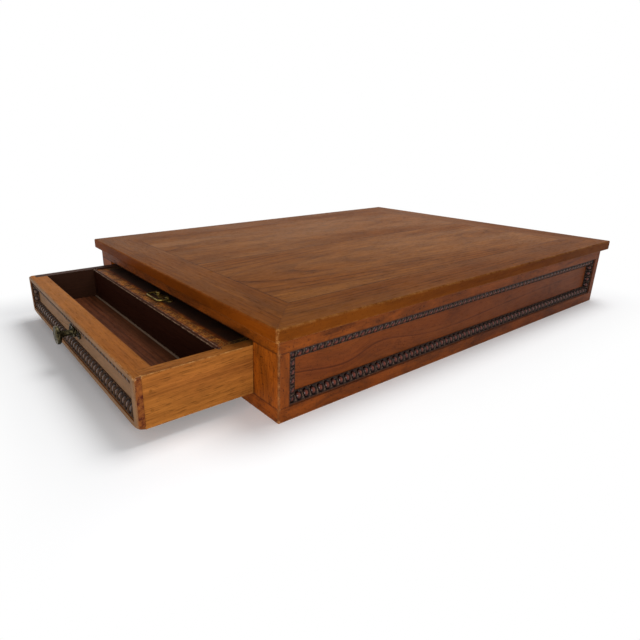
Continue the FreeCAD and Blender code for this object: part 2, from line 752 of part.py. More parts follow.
def build():
    """Every node by name; a node of several alike pieces is a list."""
    nodes = {}
    nodes.update(top_borders())
    nodes.update(top_fields())
    nodes.update(case_panels())
    nodes.update(side_facings())
    nodes.update(end_facings())
    nodes.update(front_frame())
    nodes.update(case_inside())
    nodes["drawer_stops"] = drawer_stops()
    nodes["glue_blocks"] = glue_blocks()
    nodes["top_screws"] = [screw(place, top_screw_length) for place in top_screw_places()]
    nodes["bottom_screws"] = [screw(place, bottom_screw_length)
                              for place in bottom_screw_places()]
    nodes.update(case_mouldings())
    nodes["drawer_front"] = drawer_front()
    nodes.update(drawer_sides())
    nodes.update(drawer_inside())
    nodes["moulding_drawer"] = drawer_moulding()
    nodes["drawer_pins"] = drawer_pins()
    nodes["knob_plate"] = knob_plate()
    nodes["knob"] = knob()
    nodes["knob_nut"] = knob_nut()
    nodes["knob_tacks"] = knob_tacks()
    nodes.update(slide_boards())
    nodes["pull_plate"] = pull_plate()
    nodes["pull_posts"] = pull_posts()
    nodes["pull_nuts"] = pull_nuts()
    nodes["pull_bail"] = pull_bail()
    return nodes


def export(nodes):
    os.makedirs("parts", exist_ok=True)
    for name, shape in nodes.items():
        solid = Part.makeCompound(shape) if isinstance(shape, list) else shape
        solid.exportStep("parts/" + name + ".step")
        print(name, len(solid.Solids), round(solid.Volume), solid.isValid())


export(build())
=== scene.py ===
from math import cos, hypot, pi, radians, sin, sqrt

import bpy
from mathutils import Matrix, Vector


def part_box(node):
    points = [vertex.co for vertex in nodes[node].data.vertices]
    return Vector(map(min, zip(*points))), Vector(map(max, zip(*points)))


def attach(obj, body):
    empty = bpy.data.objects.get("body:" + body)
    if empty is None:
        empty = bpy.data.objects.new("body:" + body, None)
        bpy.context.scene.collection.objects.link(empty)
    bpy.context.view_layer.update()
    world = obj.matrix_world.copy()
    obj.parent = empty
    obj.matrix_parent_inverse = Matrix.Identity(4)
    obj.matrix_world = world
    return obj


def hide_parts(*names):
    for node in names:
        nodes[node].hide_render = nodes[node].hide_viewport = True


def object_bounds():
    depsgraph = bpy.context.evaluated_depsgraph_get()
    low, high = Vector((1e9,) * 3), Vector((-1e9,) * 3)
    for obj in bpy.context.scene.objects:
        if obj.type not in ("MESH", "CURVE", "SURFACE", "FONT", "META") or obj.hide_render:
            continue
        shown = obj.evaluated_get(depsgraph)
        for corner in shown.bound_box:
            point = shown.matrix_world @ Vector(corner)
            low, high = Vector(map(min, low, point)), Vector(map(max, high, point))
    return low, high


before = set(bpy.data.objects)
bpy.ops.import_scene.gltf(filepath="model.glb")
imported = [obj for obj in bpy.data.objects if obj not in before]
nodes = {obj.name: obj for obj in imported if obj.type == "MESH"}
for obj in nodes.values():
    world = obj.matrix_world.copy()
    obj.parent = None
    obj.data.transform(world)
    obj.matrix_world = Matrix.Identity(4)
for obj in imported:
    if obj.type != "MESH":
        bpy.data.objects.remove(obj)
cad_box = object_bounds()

# A low writing box of stained oak with one drawer, drawn part of the way out.
# The frame is the model's own, in metres: X across the box, Y along it, Z up.

MM = 0.001


# ---------------------------------------------------------------- shared helpers

def linear(code):
    """An sRGB hex value as linear colour."""
    parts = [int(code[i:i + 2], 16) / 255 for i in (1, 3, 5)]
    return [p / 12.92 if p <= 0.04045 else ((p + 0.055) / 1.055) ** 2.4 for p in parts] + [1.0]


def add(tree, kind, inputs, stops=(), **settings):
    """Adds a node to a tree, with its settings, values, links and colour stops."""
    node = tree.nodes.new(kind)
    for name, value in settings.items():
        setattr(node, name, value)
    for name, value in inputs.items():
        if isinstance(value, bpy.types.NodeSocket):
            tree.links.new(value, node.inputs[name])
        else:
            node.inputs[name].default_value = value
    for i, (place, code) in enumerate(stops):
        ramp = node.color_ramp.elements
        stop = ramp[i] if i < 2 else ramp.new(place)
        stop.position = place
        stop.color = linear(code)
    return node


def new_material(name):
    """An empty node material and its tree."""
    made = bpy.data.materials.new(name)
    made.use_nodes = True
    made.node_tree.nodes.clear()
    return made, made.node_tree


def dress(material, *names):
    """Gives CAD nodes a material through their objects' slots."""
    for name in names:
        for slot in nodes[name].material_slots:
            slot.link = "OBJECT"
            slot.material = material


def both_corners(names):
    """Lowest and highest corner of several nodes together."""
    boxes = [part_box(name) for name in names]
    low = Vector(map(min, *[b[0] for b in boxes]))
    high = Vector(map(max, *[b[1] for b in boxes]))
    return low, high


# ---------------------------------------------------------------- wood

ALONG = {
    "X": Matrix.Identity(3),
    "Y": Matrix.Rotation(radians(-90), 3, "Z"),
    "Z": Matrix.Rotation(radians(90), 3, "Y"),
}
WAVE_TURN = 2 * pi / 20     # the wave node counts twenty radians to a unit of its scale
THIN_STAIN = (1.15, 1.15, 0.95, 1)      # how thin and thick stain change the wood's colour
THICK_STAIN = (0.92, 0.8, 0.8, 1)
PORE_BROWN, OLD_WAX, JOINT_DIRT = "#2c1508", "#2a1206", "#1c0c06"
PALE_DUST = "#a08a74"
# all in mm
STREAK_SIZE = (70, 2.4, 2.4)            # along, across and through the board
PORE_SIZE = (9, 0.6, 0.6)
PATCH_SIZE = 38             # of thin and thick stain, and of how much the rings show
SMEAR_SIZE, SPECK_SIZE = 16, 1.5        # of old wax and dirt
RUB_SIZE, CHIP_SIZE = 5, 0.9            # of a rubbed place along an arris, and of a chip
SWING_GROWTH = 110          # the grain's swings are twice as long at this distance
OUTER_MARGIN = 2.0          # an edge this near the outside of the hull can be rubbed
CORNER_MARGIN = 5.0         # chips start this far in from the hull's corners
CHIP_REACH = 4              # and from there grow more frequent over this distance
DUST_ENDS, DUST_FULL = 1.4, 0.4         # from the middle of the dust line to its end and core


def stained_oak(name, along, heart, hull, light, dark, pale="#b5824f", ring=4.2, tilt=1.5,
                waver=14.0, figure=0.35, width=0.42, streak=0.6, pores=0.3, polish=0.48, gloss=0.03,
                grime=0.0, reach=1.3, seam=0.3, upright=1.0, sway=None, facing_stain_and_light=(),
                ends=None, dust=None):
    """Oak, sawn and planed, stained and waxed, worn at the arrises.

    Fine streaks run with the grain; growth rings round a heart line near the board give
    arched dark lines on flat-sawn faces and straight ones on quartered faces; open pores are
    short dark dashes; the wax is dull in the pores; outer arrises are rubbed pale and joints
    hold dark dirt.

    along is the grain's axis; heart the heart line's place, across and through the board, in mm;
    tilt how far the board leans from it, in degrees; hull the lowest and highest corner of the
    boards that wear together. light and dark are the wood between and in the streaks and rings, and
    pale the bare wood of a rubbed arris. ring is a ring's breadth in mm, width the share of it that
    is dark, waver how much the rings wander and figure how dark they are; streak, pores and grime
    are how dark the streaks, the pores and the smears of old wax and dirt are. polish is the wax's
    roughness and gloss its specular level. reach is how far wear and dirt come from an edge, in mm,
    seam how dark the joints are and upright how much the upright arrises are rubbed. sway is how
    far the grain swings, the length of its first swing and where that is, in mm; the swings grow
    longer away from there. facing_stain_and_light gives faces a colour of their own by the way they
    face, some a real stain and some painted light and shade: the way, how nearly they face that
    way, the colour and its strength. ends is a darker colour in patches on the lapped ends, partly
    stain taken up by the end grain and partly painted shade, and dust the place along the box, in
    mm, of a line of pale dust at the foot of a board.
    """
    made, tree = new_material(name)
    place = add(tree, "ShaderNodeTexCoord", {}).outputs["Object"]
    facing = add(tree, "ShaderNodeNewGeometry", {}).outputs["Normal"]
    turned = Matrix.Rotation(radians(tilt), 3, "Y") @ ALONG[along]
    log = add(tree, "ShaderNodeMapping", {
        "Vector": place, "Rotation": turned.to_euler(),
        "Location": (0, -heart[0] * MM, -heart[1] * MM)}).outputs[0]
    if sway:
        rise, length, start = sway
        run = add(tree, "ShaderNodeSeparateXYZ", {"Vector": log}).outputs["X"]
        run = add(tree, "ShaderNodeMath", {0: run, 1: start * MM}, operation="SUBTRACT").outputs[0]
        slack = add(tree, "ShaderNodeMath", {0: run}, operation="ABSOLUTE").outputs[0]
        slack = add(tree, "ShaderNodeMapRange", {
            "Value": slack, "From Max": SWING_GROWTH * MM, "To Min": 1, "To Max": 2},
            clamp=False).outputs[0]
        run = add(tree, "ShaderNodeMath", {0: run, 1: slack}, operation="DIVIDE").outputs[0]
        run = add(tree, "ShaderNodeMath", {0: run, 1: 2 * pi / (length * MM)}, operation="MULTIPLY")
        swing = add(tree, "ShaderNodeMath", {0: run.outputs[0]}, operation="SINE").outputs[0]
        swing = add(tree, "ShaderNodeVectorMath", {0: (0, 0, -rise * MM), "Scale": swing},
                    operation="SCALE").outputs[0]
        log = add(tree, "ShaderNodeVectorMath", {0: log, 1: swing}, operation="ADD").outputs[0]

    # streaks of lighter and darker wood
    streaks = add(tree, "ShaderNodeVectorMath", {0: log, 1: [1 / size for size in STREAK_SIZE]},
                  operation="MULTIPLY").outputs[0]
    streaks = add(tree, "ShaderNodeTexNoise", {
        "Vector": streaks, "Scale": 1 / MM, "Detail": 4, "Roughness": 0.65}).outputs["Fac"]
    streaks = add(tree, "ShaderNodeMapRange", {
        "Value": streaks, "From Min": 0.34, "From Max": 0.72, "To Max": streak}).outputs[0]

    # growth rings wander slowly along the grain, and show more in some places than others
    drawn = add(tree, "ShaderNodeVectorMath", {0: log, 1: (0.16, 1, 1)},
                operation="MULTIPLY").outputs[0]
    rings = add(tree, "ShaderNodeTexWave", {
        "Vector": drawn, "Scale": WAVE_TURN / (ring * MM), "Distortion": waver, "Detail": 2.5,
        "Detail Scale": 0.11, "Detail Roughness": 0.55},
        wave_type="RINGS", rings_direction="X", wave_profile="SAW").outputs["Fac"]
    line = add(tree, "ShaderNodeMapRange", {
        "Value": rings, "From Min": width, "From Max": 0.02}).outputs[0]
    patches = add(tree, "ShaderNodeTexNoise", {
        "Vector": drawn, "Scale": 1 / (PATCH_SIZE * MM), "Detail": 3,
        "Roughness": 0.55}).outputs["Fac"]
    shown = add(tree, "ShaderNodeMapRange", {
        "Value": patches, "From Min": 0.35, "From Max": 0.62, "To Max": figure}).outputs[0]
    line = add(tree, "ShaderNodeMath", {0: line, 1: shown}, operation="MULTIPLY").outputs[0]
    figured = add(tree, "ShaderNodeMath", {0: streaks, 1: line}, operation="ADD",
                  use_clamp=True).outputs[0]
    grain = add(tree, "ShaderNodeMix", {
        0: figured, 6: linear(light), 7: linear(dark)}, data_type="RGBA").outputs[2]

    # broad patches of thinner, yellower stain and thicker, redder stain
    thick = add(tree, "ShaderNodeMapRange", {
        "Value": patches, "From Min": 0.3, "From Max": 0.7}).outputs[0]
    tint = add(tree, "ShaderNodeMix", {
        0: thick, 6: THIN_STAIN, 7: THICK_STAIN}, data_type="RGBA").outputs[2]
    shaded = add(tree, "ShaderNodeVectorMath", {0: grain, 1: tint},
                 operation="MULTIPLY").outputs[0]

    # pores, drawn about three times as coarse as real ones so that they show
    dashes = add(tree, "ShaderNodeVectorMath", {0: log, 1: [1 / size for size in PORE_SIZE]},
                 operation="MULTIPLY").outputs[0]
    dashes = add(tree, "ShaderNodeTexNoise", {
        "Vector": dashes, "Scale": 1 / MM, "Detail": 1.5, "Roughness": 0.6}).outputs["Fac"]
    pore = add(tree, "ShaderNodeMapRange", {
        "Value": dashes, "From Min": 0.56, "From Max": 0.7}).outputs[0]
    pore_shade = add(tree, "ShaderNodeMath", {0: pore, 1: pores}, operation="MULTIPLY").outputs[0]
    porous = add(tree, "ShaderNodeMix", {
        0: pore_shade, 6: shaded, 7: linear(PORE_BROWN)}, data_type="RGBA").outputs[2]

    # faces with a colour of their own by the way they face: some a real stain, some painted light
    # and shade
    for way, least, stain, strength in facing_stain_and_light:
        inward = add(tree, "ShaderNodeVectorMath", {0: facing, 1: way},
                     operation="DOT_PRODUCT").outputs["Value"]
        inward = add(tree, "ShaderNodeMath", {0: inward, 1: least}, operation="GREATER_THAN")
        face_colour = add(tree, "ShaderNodeMix", {
            0: strength, 6: porous, 7: linear(stain)}, data_type="RGBA").outputs[2]
        porous = add(tree, "ShaderNodeMix", {
            0: inward.outputs[0], 6: porous, 7: face_colour}, data_type="RGBA").outputs[2]

    # old wax and dirt lie in smears along the grain and in small specks, and dust on top
    smears = add(tree, "ShaderNodeVectorMath", {0: log, 1: (0.4, 1, 1)},
                 operation="MULTIPLY").outputs[0]
    smears = add(tree, "ShaderNodeTexNoise", {
        "Vector": smears, "Scale": 1 / (SMEAR_SIZE * MM), "Detail": 6, "Roughness": 0.72,
        "Distortion": 0.6}).outputs["Fac"]
    smears = add(tree, "ShaderNodeMapRange", {
        "Value": smears, "From Min": 0.43, "From Max": 0.64, "To Max": grime}).outputs[0]
    specks = add(tree, "ShaderNodeTexNoise", {
        "Vector": place, "Scale": 1 / (SPECK_SIZE * MM), "Detail": 2,
        "Roughness": 0.6}).outputs["Fac"]
    specks = add(tree, "ShaderNodeMapRange", {
        "Value": specks, "From Min": 0.58, "From Max": 0.74, "To Max": grime}).outputs[0]
    grimy = add(tree, "ShaderNodeMath", {0: smears, 1: specks}, operation="ADD",
                use_clamp=True).outputs[0]
    porous = add(tree, "ShaderNodeMix", {
        0: grimy, 6: porous, 7: linear(OLD_WAX)}, data_type="RGBA").outputs[2]

    if dust:
        away = add(tree, "ShaderNodeSeparateXYZ", {"Vector": place}).outputs["Y"]
        away = add(tree, "ShaderNodeMath", {0: away, 1: dust * MM},
                   operation="SUBTRACT").outputs[0]
        away = add(tree, "ShaderNodeMath", {0: away}, operation="ABSOLUTE").outputs[0]
        settled = add(tree, "ShaderNodeMapRange", {
            "Value": away, "From Min": DUST_ENDS * MM, "From Max": DUST_FULL * MM,
            "To Max": 0.8}).outputs[0]
        porous = add(tree, "ShaderNodeMix", {
            0: settled, 6: porous, 7: linear(PALE_DUST)}, data_type="RGBA").outputs[2]

    # how near a convex edge is, and whether it is an outer one
    eased = add(tree, "ShaderNodeBevel", {"Radius": reach * MM}, samples=4).outputs[0]
    along_both = add(tree, "ShaderNodeVectorMath", {0: eased, 1: facing},
                     operation="DOT_PRODUCT").outputs["Value"]
    edge = add(tree, "ShaderNodeMapRange", {
        "Value": along_both, "From Min": 0.995, "From Max": 0.86}).outputs[0]
    low, high = hull
    centred = add(tree, "ShaderNodeVectorMath", {0: place, 1: (low + high) / 2},
                  operation="SUBTRACT").outputs[0]
    spread = add(tree, "ShaderNodeVectorMath", {0: centred}, operation="ABSOLUTE").outputs[0]
    margin = Vector((OUTER_MARGIN * MM,) * 3)
    beyond = add(tree, "ShaderNodeVectorMath", {0: spread, 1: (high - low) / 2 - margin},
                 operation="SUBTRACT").outputs[0]
    signs = add(tree, "ShaderNodeVectorMath", {0: beyond}, operation="SIGN").outputs[0]
    faces = add(tree, "ShaderNodeVectorMath", {0: signs, 1: (1, 1, 1)},
                operation="DOT_PRODUCT").outputs["Value"]
    outer = add(tree, "ShaderNodeMath", {0: faces, 1: 0.5}, operation="GREATER_THAN").outputs[0]

    # rubbed arrises come and go along the edge, and the rest of an edge is a dirty joint
    rub = add(tree, "ShaderNodeTexNoise", {
        "Vector": place, "Scale": 1 / (RUB_SIZE * MM), "Detail": 5,
        "Roughness": 0.75}).outputs["Fac"]
    rub = add(tree, "ShaderNodeMapRange", {
        "Value": rub, "From Min": 0.4, "From Max": 0.62}).outputs[0]
    rubbed = add(tree, "ShaderNodeMath", {0: edge, 1: outer}, operation="MULTIPLY").outputs[0]
    rubbed = add(tree, "ShaderNodeMath", {0: rubbed, 1: rub}, operation="MULTIPLY").outputs[0]
    level = add(tree, "ShaderNodeSeparateXYZ", {"Vector": signs}).outputs["Z"]
    level = add(tree, "ShaderNodeMapRange", {
        "Value": level, "From Min": -1, "To Min": upright}).outputs[0]
    rubbed = add(tree, "ShaderNodeMath", {0: rubbed, 1: level}, operation="MULTIPLY").outputs[0]
    dirt = add(tree, "ShaderNodeMath", {0: edge, 1: rubbed}, operation="SUBTRACT").outputs[0]
    dirt = add(tree, "ShaderNodeMath", {0: dirt, 1: seam}, operation="MULTIPLY").outputs[0]
    dirty = add(tree, "ShaderNodeMix", {
        0: dirt, 6: porous, 7: linear(JOINT_DIRT)}, data_type="RGBA").outputs[2]

    # small chips near the hull's corners
    margin = Vector((CORNER_MARGIN * MM,) * 3)
    corner = add(tree, "ShaderNodeVectorMath", {0: spread, 1: (high - low) / 2 - margin},
                 operation="SUBTRACT").outputs[0]
    corner = add(tree, "ShaderNodeSeparateXYZ", {"Vector": corner}).outputs
    depth = add(tree, "ShaderNodeMath", {0: corner["X"], 1: corner["Y"]}, operation="MINIMUM")
    depth = add(tree, "ShaderNodeMath", {0: depth.outputs[0], 1: corner["Z"]},
                operation="MINIMUM")
    depth = add(tree, "ShaderNodeMapRange", {
        "Value": depth.outputs[0], "From Max": CHIP_REACH * MM, "To Max": 0.36}).outputs[0]
    chips = add(tree, "ShaderNodeTexNoise", {
        "Vector": place, "Scale": 1 / (CHIP_SIZE * MM), "Detail": 2}).outputs["Fac"]
    chips = add(tree, "ShaderNodeMath", {0: chips, 1: depth}, operation="ADD").outputs[0]
    chips = add(tree, "ShaderNodeMapRange", {
        "Value": chips, "From Min": 0.84, "From Max": 0.92, "To Max": 0.75}).outputs[0]
    worn = add(tree, "ShaderNodeMath", {0: rubbed, 1: chips}, operation="MAXIMUM").outputs[0]
    colour = add(tree, "ShaderNodeMix", {
        0: worn, 6: dirty, 7: linear(pale)}, data_type="RGBA").outputs[2]

    # darker patches on the lapped ends, partly stain taken up by the end grain and partly painted
    # shade
    if ends:
        sideways = add(tree, "ShaderNodeVectorMath", {0: facing}, operation="ABSOLUTE").outputs[0]
        sideways = add(tree, "ShaderNodeSeparateXYZ", {"Vector": sideways}).outputs["X"]
        darker_ends = add(tree, "ShaderNodeMath", {0: sideways, 1: rub},
                     operation="MULTIPLY").outputs[0]
        colour = add(tree, "ShaderNodeMix", {
            0: darker_ends, 6: colour, 7: linear(ends)}, data_type="RGBA").outputs[2]

    # the wax is duller in the pores and uneven between the patches; pores and rings are sunk
    dull = add(tree, "ShaderNodeMapRange", {
        "Value": pore, "To Min": polish, "To Max": polish + 0.2}).outputs[0]
    uneven = add(tree, "ShaderNodeMapRange", {
        "Value": patches, "From Min": 0.3, "From Max": 0.7, "To Min": -0.06,
        "To Max": 0.06}).outputs[0]
    roughness = add(tree, "ShaderNodeMath", {0: dull, 1: uneven}, operation="ADD").outputs[0]
    sunk = add(tree, "ShaderNodeMath", {0: pore, 1: line}, operation="ADD").outputs[0]
    relief = add(tree, "ShaderNodeBump", {
        "Height": sunk, "Strength": 0.3, "Distance": 0.08 * MM}, invert=True).outputs[0]
    surface = add(tree, "ShaderNodeBsdfPrincipled", {
        "Base Color": colour, "Roughness": roughness, "IOR": 1.46,
        "Specular IOR Level": gloss, "Normal": relief}).outputs[0]
    add(tree, "ShaderNodeOutputMaterial", {"Surface": surface})
    return made


# ---------------------------------------------------------------- camera, light and floor

FRAME_SIDE = 640        # pixels
FOCAL = 500.27          # in the same pixels
MIDDLE = (276.65, 313.94)       # where the view's axis meets the frame
SENSOR = 36.0           # mm
CAMERA_PLACE = (390.46, -390.50, 176.55)        # mm
CAMERA_TURN, CAMERA_DROP, CAMERA_ROLL = 53.557, 19.645, 0.15    # degrees


def make_camera():
    """The camera stands off the near right corner and looks a little down."""
    turn, drop, roll = radians(CAMERA_TURN), radians(CAMERA_DROP), radians(CAMERA_ROLL)
    forward = Vector((-sin(turn) * cos(drop), cos(turn) * cos(drop), -sin(drop)))
    level = forward.cross(Vector((0, 0, 1))).normalized()
    rise = level.cross(forward)
    right = cos(roll) * level + sin(roll) * rise
    up = cos(roll) * rise - sin(roll) * level
    made = bpy.data.objects.new("camera", bpy.data.cameras.new("camera"))
    bpy.context.scene.collection.objects.link(made)
    made.matrix_world = Matrix((
        (right.x, up.x, -forward.x, CAMERA_PLACE[0] * MM),
        (right.y, up.y, -forward.y, CAMERA_PLACE[1] * MM),
        (right.z, up.z, -forward.z, CAMERA_PLACE[2] * MM),
        (0, 0, 0, 1)))
    made.data.sensor_width = SENSOR
    made.data.lens = FOCAL * SENSOR / FRAME_SIDE
    made.data.shift_x = (FRAME_SIDE / 2 - MIDDLE[0]) / FRAME_SIDE
    made.data.shift_y = (MIDDLE[1] - FRAME_SIDE / 2) / FRAME_SIDE
    made.data.clip_start = 0.01
    made.data.clip_end = 30
    bpy.context.scene.camera = made


def seen_directly(tree):
    """One for camera, mirror and glass rays, nothing for the rest."""
    path = add(tree, "ShaderNodeLightPath", {})
    seen = add(tree, "ShaderNodeMath", {
        0: path.outputs["Is Camera Ray"], 1: path.outputs["Is Glossy Ray"]},
        operation="MAXIMUM").outputs[0]
    return add(tree, "ShaderNodeMath", {0: seen, 1: path.outputs["Is Transmission Ray"]},
               operation="MAXIMUM").outputs[0]


def make_world():
    """An even pale light all round, and plain white where it is seen directly."""
    world = bpy.data.worlds.new("studio")
    bpy.context.scene.world = world
    world.use_nodes = True
    tree = world.node_tree
    tree.nodes.clear()
    lighting = add(tree, "ShaderNodeBackground", {
        "Color": linear("#f4f6fa"), "Strength": 0.37})
    backdrop = add(tree, "ShaderNodeBackground", {"Color": (1, 1, 1, 1), "Strength": 1.0})
    mixed = add(tree, "ShaderNodeMixShader", {
        0: seen_directly(tree), 1: lighting.outputs[0], 2: backdrop.outputs[0]})
    add(tree, "ShaderNodeOutputWorld", {"Surface": mixed.outputs[0]})


def make_lamp(name, place, aim, size, power):
    """A round soft lamp, its size in metres and its power in watts."""
    data = bpy.data.lights.new(name, "AREA")
    data.shape = "DISK"
    data.size = size
    data.energy = power
    made = bpy.data.objects.new(name, data)
    bpy.context.scene.collection.objects.link(made)
    made.location = place
    made.rotation_euler = (Vector(aim) - Vector(place)).to_track_quat("-Z", "Y").to_euler()


SHADOW_FROM, SHADOW_TO = -0.02, 0.08     # the box's shadow fades out over this, in metres
FLOOR_RADIUS = 6                         # and the floor reaches this far


def make_floor():
    """A pale floor that fades into the white backdrop away from the box."""
    bpy.ops.mesh.primitive_circle_add(vertices=96, radius=FLOOR_RADIUS, fill_type="NGON")
    floor = bpy.context.object
    floor.name = "floor"
    made, tree = new_material("pale_floor")
    low, high = (Vector(corner) for corner in cad_box)
    place = add(tree, "ShaderNodeTexCoord", {}).outputs["Object"]
    spread = add(tree, "ShaderNodeVectorMath", {0: place, 1: (low + high) / 2},
                 operation="SUBTRACT").outputs[0]
    spread = add(tree, "ShaderNodeVectorMath", {0: spread}, operation="ABSOLUTE").outputs[0]
    beyond = add(tree, "ShaderNodeVectorMath", {0: spread, 1: (high - low) / 2},
                 operation="SUBTRACT").outputs[0]
    beyond = add(tree, "ShaderNodeVectorMath", {0: beyond, 1: (0, 0, 0)},
                 operation="MAXIMUM").outputs[0]
    distance = add(tree, "ShaderNodeVectorMath", {0: beyond},
                   operation="LENGTH").outputs["Value"]
    away = add(tree, "ShaderNodeMapRange", {
        "Value": distance, "From Min": SHADOW_FROM, "From Max": SHADOW_TO},
        interpolation_type="SMOOTHSTEP").outputs[0]
    white = add(tree, "ShaderNodeMath", {0: away, 1: seen_directly(tree)},
                operation="MULTIPLY").outputs[0]
    matt = add(tree, "ShaderNodeBsdfDiffuse", {"Color": linear("#ffffff")})
    bright = add(tree, "ShaderNodeEmission", {"Color": (1, 1, 1, 1), "Strength": 1.0})
    surface = add(tree, "ShaderNodeMixShader", {
        0: white, 1: matt.outputs[0], 2: bright.outputs[0]}).outputs[0]
    add(tree, "ShaderNodeOutputMaterial", {"Surface": surface})
    floor.data.materials.append(made)


# ---------------------------------------------------------------- the boards

# each cut at a worn corner: the upper or lower corner, and how far it runs across, back and
# up or down from there, in mm
WORN_CORNERS = (
    (-1, (14, 5.0, 1.7)), (-1, (6, 2.6, 2.6)), (-1, (3, 1.6, 4.2)),
    (1, (7, 2.4, 1.0)), (1, (2.4, 1.3, 2.2)))
BOARD_WELD = 0.005          # points nearer than this are one, in mm
DUST_AWAY = 0.9             # the middle of the dust line from the partition, in mm


def worn_drawer_front(finish):
    """The drawer front with its corners worn round by years of handling, in place of sharp ones."""
    mesh = nodes["drawer_front"].data.copy()
    board = bpy.data.objects.new("worn_drawer_front", mesh)
    bpy.context.scene.collection.objects.link(board)
    bpy.ops.object.select_all(action="DESELECT")
    board.select_set(True)
    bpy.context.view_layer.objects.active = board
    low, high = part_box("drawer_front")
    bpy.ops.object.mode_set(mode="EDIT")
    bpy.ops.mesh.select_all(action="SELECT")
    bpy.ops.mesh.remove_doubles(threshold=BOARD_WELD * MM)
    for side in (-1, 1):
        for height, wear in WORN_CORNERS:
            corner = Vector((side * high.x, low.y, high.z if height > 0 else low.z))
            way = Vector((side / wear[0], -1 / wear[1], height / wear[2])).normalized()
            cut = corner - Vector((side * wear[0] * MM, 0, 0))
            bpy.ops.mesh.select_all(action="SELECT")
            bpy.ops.mesh.bisect(plane_co=cut, plane_no=way, use_fill=True, clear_outer=True)
    bpy.ops.object.mode_set(mode="OBJECT")
    mesh.materials.clear()
    mesh.materials.append(finish)
    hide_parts("drawer_front")
    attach(board, "drawer")


